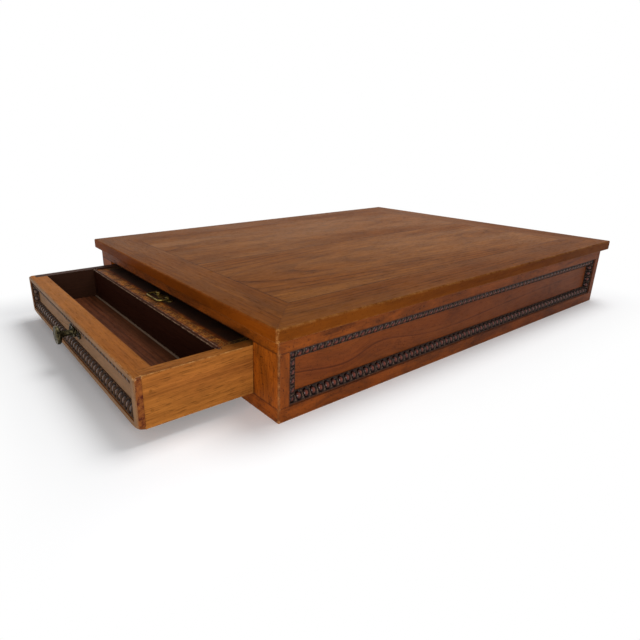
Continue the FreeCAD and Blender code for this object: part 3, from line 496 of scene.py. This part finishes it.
def dress_boards():
    """Gives every wooden node its own stain, with the grain along the board."""
    top = both_corners(["top_border_left", "top_border_right", "top_border_front"])
    case = both_corners(["side_rail_bottom_left", "side_rail_bottom_right",
                         "front_rail_bottom", "end_rail_top", "side_rail_top_right"])
    drawer = both_corners(["drawer_front", "drawer_side_left", "drawer_side_right"])
    slide = both_corners(["slide_clamp_front", "slide_core", "slide_clamp_back"])
    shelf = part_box("drawer_partition")

    # the top, stained a golden brown
    top_stain = {"light": "#7f4a14", "dark": "#4e2a0a", "pale": "#a3703d", "polish": 0.38,
                 "gloss": 0.012, "reach": 2, "grime": 0.3, "seam": 0.2,
                 # painted light and shade by facing: the edges warmer orange than the top, the
                 # front edges brighter still, the right-facing edges painted darker
                 "facing_stain_and_light": [((0, 0, -1), -0.5, "#a0520f", 0.28),
                                   ((0, -1, 0), 0.5, "#a4480a", 0.4),
                                   ((1, 0, 0), 0.5, "#4f2409", 0.58)]}
    borders = {
        "top_border_right": ("Y", (-210, 40)), "top_border_left": ("Y", (190, 30)),
        "top_border_front": ("X", (-140, 30)), "top_border_back": ("X", (260, 35))}
    for name, (along, heart) in borders.items():
        dress(stained_oak("oak_" + name, along, heart, top, **top_stain), name)
    top_stain.update(light="#88521a", dark="#522c0b", seam=0.95)
    dress(stained_oak("oak_top_field_right", "Y", (-62, 6), top, tilt=4, figure=0.6,
                      **top_stain), "top_field_right")
    dress(stained_oak("oak_top_field_left", "Y", (75, 14), top, tilt=-4, figure=0.5,
                      **top_stain), "top_field_left")

    # the case, redder
    panel_stain = {"light": "#733a12", "dark": "#4e240a", "grime": 0.42, "ring": 17,
                   "width": 0.1, "waver": 2, "figure": 0.95, "streak": 0.45,
                   "sway": (4, 70, -142), "tilt": 0.3, "gloss": 0.09}
    dress(stained_oak("oak_side_panels", "Y", (-150, -90), case, **panel_stain),
          "side_panel_right", "side_panel_left")
    dress(stained_oak("oak_end_panel", "X", (200, -90), case, **panel_stain), "end_panel")
    rail_stain = {"light": "#7e3f11", "dark": "#562808", "upright": 0.3, "streak": 0.45,
                  "figure": 0.2, "gloss": 0.08, "grime": 0.65, "seam": 0.6}
    dress(stained_oak("oak_side_rails", "Y", (-110, -40), case, **rail_stain),
          "side_rail_bottom_left", "side_rail_bottom_right", "side_rail_top_left",
          "side_rail_top_right")
    dress(stained_oak("oak_end_rails", "X", (200, -40), case, **rail_stain), "end_rail_bottom",
          "end_rail_top")
    rail_stain.update(streak=0.3, seam=0.9, reach=1.8, upright=0.5)
    dress(stained_oak("oak_stiles", "Z", (90, 130), case, **rail_stain), "side_stile_front_left",
          "side_stile_front_right", "side_stile_back_left", "side_stile_back_right",
          "end_stile_left", "end_stile_right")
    # painted light: the front rails and posts take a lighter copy of the rail stain than the sides,
    # brightening the front of the case
    rail_stain.update(light="#ab5916", dark="#7a3c0d")
    dress(stained_oak("oak_front_rails", "X", (200, -40), case, **rail_stain),
          "front_rail_bottom", "front_rail_top")
    dress(stained_oak("oak_front_posts", "Z", (90, 130), case, **rail_stain), "front_post_left",
          "front_post_right")

    # the drawer, paler outside and stained dark inside
    lining = "#33201b"
    front = stained_oak("oak_drawer_front", "X", (-250, 0), drawer, "#a6672c", "#7f4e1f",
                        # ends: darker patches on the lapped ends, partly end grain and partly
                        # painted shade
                        grime=0.2, pale="#c79763", ends="#431a13",
                        facing_stain_and_light=[((0, 1, 0), 0.5, lining, 0.93),
                                       # painted reflection: the front face is painted a greyer tan
                                       # for the sheen it shows at a grazing angle
                                       ((0, -1, 0), 0.5, "#a58c70", 0.55),
                                       # the two ends painted darker, partly end grain and partly
                                       # painted shade
                                       ((1, 0, 0), 0.5, "#5e2a1c", 0.4),
                                       ((-1, 0, 0), 0.5, "#5e2a1c", 0.4)])
    worn_drawer_front(front)
    side_stain = {"light": "#a2672d", "dark": "#72431a", "pale": "#b98a50", "figure": 0.25,
                  "grime": 0.17, "pores": 0.6, "streak": 0.75}
    dress(stained_oak("oak_drawer_side_right", "Y", (-60, 60), drawer,
                      facing_stain_and_light=[((-1, 0, 0), 0.5, lining, 0.93)], **side_stain),
          "drawer_side_right")
    dress(stained_oak("oak_drawer_side_left", "Y", (-60, 60), drawer,
                      facing_stain_and_light=[((1, 0, 1), 0.5, lining, 0.93)], **side_stain),
          "drawer_side_left")
    dress(stained_oak("oak_pegs", "X", (40, 60), drawer, "#8c5622", "#5f3613"), "drawer_pins")
    dress(stained_oak("stained_drawer_floor", "X", (250, -30), drawer, "#6f4129", "#3c2217",
                      pale="#7a5238", grime=0.4, streak=0.8,
                      dust=shelf[0].y / MM - DUST_AWAY), "drawer_bottom")
    dress(stained_oak("stained_partition", "X", (250, -30), shelf, "#3d2016", "#22110b",
                      pale="#c9ab8c"), "drawer_partition", "drawer_back")
    dress(stained_oak("slide_boards", "X", (150, -30), slide, "#7d4a20", "#56300f",
                      pale="#c79763"), "slide_clamp_front", "slide_core", "slide_clamp_back")

    # inside the case, unstained pine
    pine = stained_oak("carcase_pine", "Y", (-60, -60), case, "#a5763f", "#7d5227",
                       pale="#b98a55", pores=0.08, polish=0.7)
    dress(pine, "bottom_board", "drawer_runner_left", "drawer_runner_right",
          "drawer_guide_left", "drawer_guide_right", "drawer_kicker_left", "drawer_kicker_right",
          "drawer_stops", "glue_blocks")


# ---------------------------------------------------------------- metal and leather

LEATHER_SHADOW_EDGE = -229.0           # painted shadow under the case: the leather is painted dark inward from here, in mm along the box
LEATHER_SHADOW_SPREAD = 4                    # and the painted shadow darkens over this
PEBBLE = 0.9                # one grain of the leather, drawn coarser than real so that it shows
SCROLL_REPEAT, SCROLL_RISE = 4.5, 0.9           # of the gilt scroll, in mm
# of the gilt border: the inner and outer line and the scroll from the edge, and half widths
LINE_INSETS, LINE_HALF = (2.4, 6.6), 0.22
SCROLL_INSET, SCROLL_HALF = 4.5, 0.3
# the second colour is the painted shadow on the leather under the case
CREASE_BROWN, LEATHER_PAINTED_SHADOW, WORN_GILT = "#2a1508", "#100704", "#b98f45"


def aged_metal(name, bright, worn, dark, grain, low, high, roughness):
    """Metal that has tarnished in patches and is rubbed bright on its edges.

    bright is the rubbed colour, worn the handled faces, dark the tarnish in between; the
    tarnish is duller than the metal, so a reflection breaks up over it. grain is the size of
    the patches in mm; they start at low and are full at high.
    """
    made, tree = new_material(name)
    place = add(tree, "ShaderNodeTexCoord", {}).outputs["Object"]
    facing = add(tree, "ShaderNodeNewGeometry", {}).outputs["Normal"]
    patches = add(tree, "ShaderNodeTexNoise", {
        "Vector": place, "Scale": 1 / (grain * MM), "Detail": 5, "Roughness": 0.7}).outputs["Fac"]
    tarnish = add(tree, "ShaderNodeMapRange", {
        "Value": patches, "From Min": low, "From Max": high}).outputs[0]
    eased = add(tree, "ShaderNodeBevel", {"Radius": 0.5 * MM}, samples=4).outputs[0]
    along_both = add(tree, "ShaderNodeVectorMath", {0: eased, 1: facing},
                     operation="DOT_PRODUCT").outputs["Value"]
    edge = add(tree, "ShaderNodeMapRange", {
        "Value": along_both, "From Min": 0.99, "From Max": 0.8, "To Max": 0.8}).outputs[0]
    body = add(tree, "ShaderNodeMix", {
        0: tarnish, 6: linear(worn), 7: linear(dark)}, data_type="RGBA").outputs[2]
    colour = add(tree, "ShaderNodeMix", {
        0: edge, 6: body, 7: linear(bright)}, data_type="RGBA").outputs[2]
    dull = add(tree, "ShaderNodeMapRange", {
        "Value": tarnish, "To Min": roughness, "To Max": roughness + 0.25}).outputs[0]
    pits = add(tree, "ShaderNodeBump", {
        "Height": patches, "Strength": 0.4, "Distance": 0.15 * MM}, invert=True).outputs[0]
    surface = add(tree, "ShaderNodeBsdfPrincipled", {
        "Base Color": colour, "Metallic": 1.0, "Roughness": dull, "Normal": pits}).outputs[0]
    add(tree, "ShaderNodeOutputMaterial", {"Surface": surface})
    return made


def tooled_leather():
    """Calf leather, golden brown, with gilt tooling, and a painted shadow under the case.

    Fine pebbled grain breaks up the sheen, the colour is mottled by handling and painted nearly
    black under the case as a painted shadow, and a gilt border of two lines with a running scroll
    follows the edge.
    """
    made, tree = new_material("tooled_brown_leather")
    low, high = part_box("slide_leather")
    place = add(tree, "ShaderNodeTexCoord", {}).outputs["Object"]
    mottle = add(tree, "ShaderNodeTexNoise", {
        "Vector": place, "Scale": 1 / (7 * MM), "Detail": 7, "Roughness": 0.8}).outputs["Fac"]
    hide = add(tree, "ShaderNodeValToRGB", {"Fac": mottle}, stops=[
        (0.38, "#2c1105"), (0.5, "#6e340a"), (0.62, "#bb6b1c")]).outputs["Color"]
    pebbles = add(tree, "ShaderNodeTexVoronoi", {
        "Vector": place, "Scale": 1 / (PEBBLE * MM)}).outputs["Distance"]
    crease = add(tree, "ShaderNodeMapRange", {
        "Value": pebbles, "From Min": 0.35, "From Max": 0.8, "To Max": 0.3}).outputs[0]
    hide = add(tree, "ShaderNodeMix", {
        0: crease, 6: hide, 7: linear(CREASE_BROWN)}, data_type="RGBA").outputs[2]

    # painted shadow: where the leather runs in under the case it is painted nearly black, with a
    # ragged edge
    run = add(tree, "ShaderNodeSeparateXYZ", {"Vector": place}).outputs["Y"]
    ragged = add(tree, "ShaderNodeMapRange", {
        "Value": mottle, "From Min": 0.3, "From Max": 0.7, "To Min": -1.5 * MM,
        "To Max": 1.5 * MM}).outputs[0]
    ragged = add(tree, "ShaderNodeMath", {0: run, 1: ragged}, operation="ADD").outputs[0]
    painted_shadow = add(tree, "ShaderNodeMapRange", {
        "Value": ragged, "From Min": (LEATHER_SHADOW_EDGE - LEATHER_SHADOW_SPREAD) * MM, "From Max": (LEATHER_SHADOW_EDGE + 0.2) * MM,
        "To Max": 0.96}, interpolation_type="SMOOTHERSTEP").outputs[0]
    hide = add(tree, "ShaderNodeMix", {
        0: painted_shadow, 6: hide, 7: linear(LEATHER_PAINTED_SHADOW)}, data_type="RGBA").outputs[2]

    # the distance from the nearest edge, and the gilt lines and scroll that follow it
    centred = add(tree, "ShaderNodeVectorMath", {0: place, 1: (low + high) / 2},
                  operation="SUBTRACT").outputs[0]
    spread = add(tree, "ShaderNodeVectorMath", {0: centred}, operation="ABSOLUTE").outputs[0]
    within = add(tree, "ShaderNodeVectorMath", {0: (high - low) / 2, 1: spread},
                 operation="SUBTRACT").outputs[0]
    sides = add(tree, "ShaderNodeSeparateXYZ", {"Vector": within}).outputs
    inset = add(tree, "ShaderNodeMath", {0: sides["X"], 1: sides["Y"]},
                operation="MINIMUM").outputs[0]
    travel = add(tree, "ShaderNodeMath", {0: sides["X"], 1: sides["Y"]},
                 operation="MAXIMUM").outputs[0]
    turns = add(tree, "ShaderNodeMath", {0: travel, 1: 2 * pi / (SCROLL_REPEAT * MM)},
                operation="MULTIPLY").outputs[0]
    swing = add(tree, "ShaderNodeMath", {0: turns}, operation="SINE").outputs[0]
    swing = add(tree, "ShaderNodeMath", {0: swing, 1: SCROLL_RISE * MM},
                operation="MULTIPLY").outputs[0]
    scroll = add(tree, "ShaderNodeMath", {0: inset, 1: swing}, operation="SUBTRACT").outputs[0]
    lines = [(inset, away, LINE_HALF) for away in LINE_INSETS]
    gilding = None
    for path, away, half in lines + [(scroll, SCROLL_INSET, SCROLL_HALF)]:
        off = add(tree, "ShaderNodeMath", {0: path, 1: away * MM},
                  operation="SUBTRACT").outputs[0]
        off = add(tree, "ShaderNodeMath", {0: off}, operation="ABSOLUTE").outputs[0]
        drawn = add(tree, "ShaderNodeMapRange", {
            "Value": off, "From Min": (half + 0.1) * MM, "From Max": (half - 0.1) * MM}).outputs[0]
        gilding = drawn if gilding is None else add(
            tree, "ShaderNodeMath", {0: gilding, 1: drawn}, operation="MAXIMUM").outputs[0]
    left = add(tree, "ShaderNodeMapRange", {
        "Value": mottle, "From Min": 0.42, "From Max": 0.58, "To Min": 0.25,
        "To Max": 0.85}).outputs[0]
    gilding = add(tree, "ShaderNodeMath", {0: gilding, 1: left}, operation="MULTIPLY").outputs[0]
    colour = add(tree, "ShaderNodeMix", {
        0: gilding, 6: hide, 7: linear(WORN_GILT)}, data_type="RGBA").outputs[2]
    metal = add(tree, "ShaderNodeMath", {0: gilding, 1: 0.7}, operation="MULTIPLY").outputs[0]
    roughness = add(tree, "ShaderNodeMapRange", {
        "Value": crease, "To Min": 0.42, "To Max": 0.9}).outputs[0]
    grain = add(tree, "ShaderNodeMath", {0: pebbles, 1: gilding}, operation="ADD").outputs[0]
    relief = add(tree, "ShaderNodeBump", {
        "Height": grain, "Strength": 0.5, "Distance": 0.12 * MM}, invert=True).outputs[0]
    surface = add(tree, "ShaderNodeBsdfPrincipled", {
        "Base Color": colour, "Metallic": metal, "Roughness": roughness,
        "Specular IOR Level": 0.14, "Normal": relief}).outputs[0]
    add(tree, "ShaderNodeOutputMaterial", {"Surface": surface})
    return made


def dress_metal_and_leather():
    """Brass for what is handled, iron for nuts, tacks and screws, leather on the slide."""
    brass = aged_metal("aged_brass", "#a08e62", "#5e563c", "#1c1912",
                       grain=2.6, low=0.36, high=0.58, roughness=0.34)
    dress(brass, "knob", "knob_plate")
    handled = aged_metal("handled_brass", "#cdb06c", "#94803f", "#2c2617",
                         grain=2.2, low=0.42, high=0.62, roughness=0.3)
    dress(handled, "pull_plate", "pull_bail", "pull_posts")
    iron = aged_metal("dark_iron", "#6e6862", "#3d3733", "#241a15",
                      grain=1.6, low=0.38, high=0.62, roughness=0.5)
    dress(iron, "knob_tacks", "knob_nut", "pull_nuts", "top_screws", "bottom_screws")
    dress(tooled_leather(), "slide_leather")


# ---------------------------------------------------------------- carved moulding

# all in mm
PITCH = 6.4                 # one egg and the tongue beside it
STRIP_WIDTH = 7.6           # from the outer edge to the panel
FILLET = 1.1                # the flat along the outer edge
TOE = 0.7                   # how thick the strip is where it meets the panel
BULGE = 0.9                 # how far the carved face swells
EGG_WIDTH = 2.35            # half width of an egg
EGG_MIDDLE = 3.8            # widest place, from the fillet down the face
EGG_HEAD = 3.2              # from there to the egg's round head
EGG_FOOT = 2.6              # and to its round foot
SOCKET_DEPTH = 1.5
SOCKET_GAP = 0.35           # the socket's floor beside the egg
SOCKET_WALL = 0.4           # from that floor up to the tongue
TONGUE_FROM = 1             # the tongue's rubbed tip starts this far down the face
FACE_ROWS = (0, 0.6, 1.2, 2.0, 2.9, 3.8, 4.8, 5.6, 6.2, 6.8)    # places down the face
EGG_COLUMNS = (0, 0.4, 0.72, 0.92, 1.0)         # shares of the egg's half width
STRIP_WELD = 0.02           # points nearer than this are one


def carved_depth(u, v):
    """How deep the chisel went at u from an egg's middle line and v down the face."""
    reach = EGG_FOOT if v > EGG_MIDDLE else EGG_HEAD
    across, along = u / EGG_WIDTH, (v - EGG_MIDDLE) / reach
    out = hypot(across, along)
    if out < 1:
        return SOCKET_DEPTH * (1 - sqrt(1 - out * out))
    gap = (out * out - 1) / (2 * hypot(across / EGG_WIDTH, along / reach))
    wall = min(max((gap - SOCKET_GAP) / SOCKET_WALL, 0), 1)
    return SOCKET_DEPTH * (1 - wall)


def egg_columns(v, pitch):
    """Mesh columns that follow an egg's outline at v down the face."""
    reach = EGG_FOOT if v > EGG_MIDDLE else EGG_HEAD
    width = EGG_WIDTH * sqrt(max(0.1, 1 - ((v - EGG_MIDDLE) / reach) ** 2))
    half = [share * width for share in EGG_COLUMNS] + [width + SOCKET_GAP + SOCKET_WALL, pitch / 2]
    return [-u for u in reversed(half[1:])] + half


def egg_and_tongue(pitch, height):
    """One repeat: an ovolo's skin with an egg carved in its socket, open at both ends.

    Its rows go round the strip: up the outer edge, down the carved face and back along the
    panel. The carving attribute holds how deep a point is cut in red, whether it is on an egg
    in green and whether on a tongue's tip in blue; flat_edge is 1 off the carved face.
    """
    slope = Vector((STRIP_WIDTH - FILLET, TOE - height))
    face = slope.length
    outward = Vector((-slope.y, slope.x)) / face
    rows = [("side", 0, 0), ("side", 0, height)]
    rows += [("face", v, 0) for v in FACE_ROWS]
    rows += [("face", face, 0), ("side", STRIP_WIDTH, 0), ("side", 0, 0)]
    columns = len(egg_columns(0, pitch))
    bpy.ops.mesh.primitive_grid_add(x_subdivisions=columns - 1, y_subdivisions=len(rows) - 1)
    piece = bpy.context.object
    piece.data.attributes.new("carving", "FLOAT_COLOR", "POINT")
    piece.data.attributes.new("flat_edge", "FLOAT", "POINT")
    shade, edge = (piece.data.attributes[name] for name in ("carving", "flat_edge"))
    for i, vertex in enumerate(piece.data.vertices):
        kind, first, second = rows[i // columns]
        v = first if kind == "face" else 0
        u = egg_columns(v, pitch)[i % columns]
        if kind == "side":
            vertex.co = (u * MM, first * MM, second * MM)
            shade.data[i].color = (0, 0, 0, 1)
            edge.data[i].value = 1
            continue
        share = v / face
        swell = 4 * BULGE * share * (1 - share)
        blank = Vector((FILLET, height)) + share * slope + swell * outward
        depth = carved_depth(u, v) if 0 < v < face else 0
        cut = blank - depth * outward
        vertex.co = (u * MM, cut.x * MM, cut.y * MM)
        inside = hypot(u / EGG_WIDTH, (v - EGG_MIDDLE) / EGG_HEAD) < 0.95
        egg = inside and v < EGG_MIDDLE + EGG_FOOT
        tip = depth < 0.3 * SOCKET_DEPTH and not egg and TONGUE_FROM < v <= EGG_MIDDLE
        shade.data[i].color = (depth / SOCKET_DEPTH, float(egg), float(tip), 1)
    bpy.ops.object.mode_set(mode="EDIT")
    bpy.ops.mesh.select_all(action="SELECT")
    bpy.ops.mesh.remove_doubles(threshold=STRIP_WELD * MM)
    bpy.ops.object.mode_set(mode="OBJECT")
    return piece


def carved_strip(length, height):
    """A strip of repeats, mitred at both ends, its outer edge on the X axis."""
    count = round(length / PITCH)
    piece = egg_and_tongue(length / count, height)
    row = piece.modifiers.new("row", "ARRAY")
    row.count = count
    row.use_relative_offset = False
    row.use_constant_offset = True
    row.constant_offset_displace = (length / count * MM, 0, 0)
    row.use_merge_vertices = True
    row.merge_threshold = STRIP_WELD * MM
    bpy.ops.object.modifier_apply(modifier="row")
    piece.data.transform(Matrix.Translation(((1 / count - 1) * length / 2 * MM, 0, 0)))
    bpy.ops.object.mode_set(mode="EDIT")
    for end in (-1, 1):
        bpy.ops.mesh.select_all(action="SELECT")
        bpy.ops.mesh.bisect(plane_co=(end * length / 2 * MM, 0, 0), plane_no=(end, 1, 0),
                            use_fill=True, clear_outer=True)
    bpy.ops.mesh.select_all(action="SELECT")
    bpy.ops.mesh.normals_make_consistent(inside=False)
    bpy.ops.object.mode_set(mode="OBJECT")
    return piece


def carved_frame(name, node, body, facing, finish):
    """Four mitred strips round a sunk panel, in place of the plain ones."""
    low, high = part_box(node)
    middle, size = (low + high) / 2, (high - low) / MM
    normal = Vector(facing)
    level = Vector((0, 0, 1)).cross(normal)
    thick = abs(size.dot(normal))
    wide, tall = abs(size.dot(level)), size.z
    foot = middle - normal * thick / 2 * MM
    basis = Matrix((level, Vector((0, 0, 1)), normal)).transposed().to_4x4()
    strips = []
    for turn, length, out in ((0, wide, tall), (90, tall, wide), (180, wide, tall),
                              (270, tall, wide)):
        strip = carved_strip(length, thick)
        place = Matrix.Rotation(radians(turn), 4, "Z")
        place = place @ Matrix.Translation((0, -out / 2 * MM, 0))
        strip.data.transform(Matrix.Translation(foot) @ basis @ place)
        strips.append(strip)
    bpy.ops.object.select_all(action="DESELECT")
    for strip in strips:
        strip.select_set(True)
    bpy.ops.object.join()
    frame_piece = bpy.context.object
    frame_piece.name = name
    bpy.ops.object.shade_smooth_by_angle(angle=radians(50))
    frame_piece.data.materials.append(finish)
    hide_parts(node)
    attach(frame_piece, body)


def carved_oak(name, ground_stain, egg_stain_and_shade, tip_stain, edge_stain, hollow_shade):
    """Oak carved by hand and stained dark, waxed many times.

    Hollows are painted nearly black as shade, darker the deeper they are cut; the eggs are red
    brown, painted darker down their sides as shade, and shine a little; the tips of the tongues are
    rubbed to a greyish brown, and the flat edge keeps the stain of the rail beside it. ground_stain
    and egg_stain_and_shade are three colours each, from dark to light on the ground and from the
    top of an egg down its side, the darker ones on the egg being painted shade; hollow_shade is the
    painted shade in the deepest cuts.
    """
    made, tree = new_material(name)
    carving = add(tree, "ShaderNodeVertexColor", {}, layer_name="carving").outputs["Color"]
    marks = add(tree, "ShaderNodeSeparateColor", {"Color": carving}).outputs
    edge = add(tree, "ShaderNodeAttribute", {}, attribute_name="flat_edge").outputs["Fac"]
    place = add(tree, "ShaderNodeTexCoord", {}).outputs["Object"]
    speckle = add(tree, "ShaderNodeTexNoise", {
        "Vector": place, "Scale": 1 / (1.6 * MM), "Detail": 3, "Roughness": 0.7}).outputs["Fac"]
    ground = add(tree, "ShaderNodeValToRGB", {"Fac": speckle}, stops=list(
        zip((0.38, 0.58, 0.78), ground_stain))).outputs["Color"]
    rubbed = add(tree, "ShaderNodeMath", {0: marks["Blue"], 1: 0.32},
                 operation="MULTIPLY").outputs[0]
    ground = add(tree, "ShaderNodeMix", {
        0: rubbed, 6: ground, 7: linear(tip_stain)}, data_type="RGBA").outputs[2]
    # painted shade: an egg is painted darker down its sides as they sink into the socket
    body = add(tree, "ShaderNodeValToRGB", {"Fac": marks["Red"]}, stops=list(
        zip((0.0, 0.14, 0.5), egg_stain_and_shade))).outputs["Color"]
    tops = add(tree, "ShaderNodeMix", {
        0: marks["Green"], 6: ground, 7: body}, data_type="RGBA").outputs[2]
    # painted shade: the deeper a point is cut, the nearer black it is painted
    hollow = add(tree, "ShaderNodeMapRange", {
        "Value": marks["Red"], "From Min": 0.15, "From Max": 0.8}).outputs[0]
    colour = add(tree, "ShaderNodeMix", {
        0: hollow, 6: tops, 7: linear(hollow_shade)}, data_type="RGBA").outputs[2]
    colour = add(tree, "ShaderNodeMix", {
        0: edge, 6: colour, 7: linear(edge_stain)}, data_type="RGBA").outputs[2]
    roughness = add(tree, "ShaderNodeMapRange", {
        "Value": marks["Green"], "To Min": 0.75, "To Max": 0.17}).outputs[0]
    chisel = add(tree, "ShaderNodeBump", {
        "Height": speckle, "Strength": 0.4, "Distance": 0.15 * MM}).outputs[0]
    surface = add(tree, "ShaderNodeBsdfPrincipled", {
        "Base Color": colour, "Roughness": roughness, "IOR": 1.46,
        "Specular IOR Level": 0.26, "Normal": chisel}).outputs[0]
    add(tree, "ShaderNodeOutputMaterial", {"Surface": surface})
    return made


def make_mouldings():
    """The carved frames, nearly black on the case and rubbed browner on the drawer, with painted
    shade in their hollows.
    """
    finish = carved_oak("carved_dark_oak", ground_stain=("#190b05", "#311c10", "#7a5c46"),
                        egg_stain_and_shade=("#6c2c16", "#4c1e10", "#240d07"), tip_stain="#8c7462",
                        edge_stain="#4e260e", hollow_shade="#140806")
    handled = carved_oak("carved_rubbed_oak", ground_stain=("#2c190e", "#523722", "#80603f"),
                         egg_stain_and_shade=("#7a553c", "#5c3c29", "#361f16"), tip_stain="#7e5f42",
                         edge_stain="#5a3d28", hollow_shade="#2b1a10")
    carved_frame("carved_moulding_right", "moulding_right", "case", (1, 0, 0), finish)
    carved_frame("carved_moulding_left", "moulding_left", "case", (-1, 0, 0), finish)
    carved_frame("carved_moulding_end", "moulding_end", "case", (0, 1, 0), finish)
    carved_frame("carved_moulding_drawer", "moulding_drawer", "drawer", (0, -1, 0), handled)


bpy.context.scene.view_settings.view_transform = "Standard"
make_camera()
make_world()
make_floor()
make_lamp("key_lamp", place=(0.05, 0.32, 1.25), aim=(0, 0, 0.05), size=0.8, power=10.4)
make_lamp("fill_lamp", place=(0.46, -0.32, 0.1), aim=(0.16, -0.22, 0.03), size=0.2, power=0.75)
dress_boards()
dress_metal_and_leather()
make_mouldings()
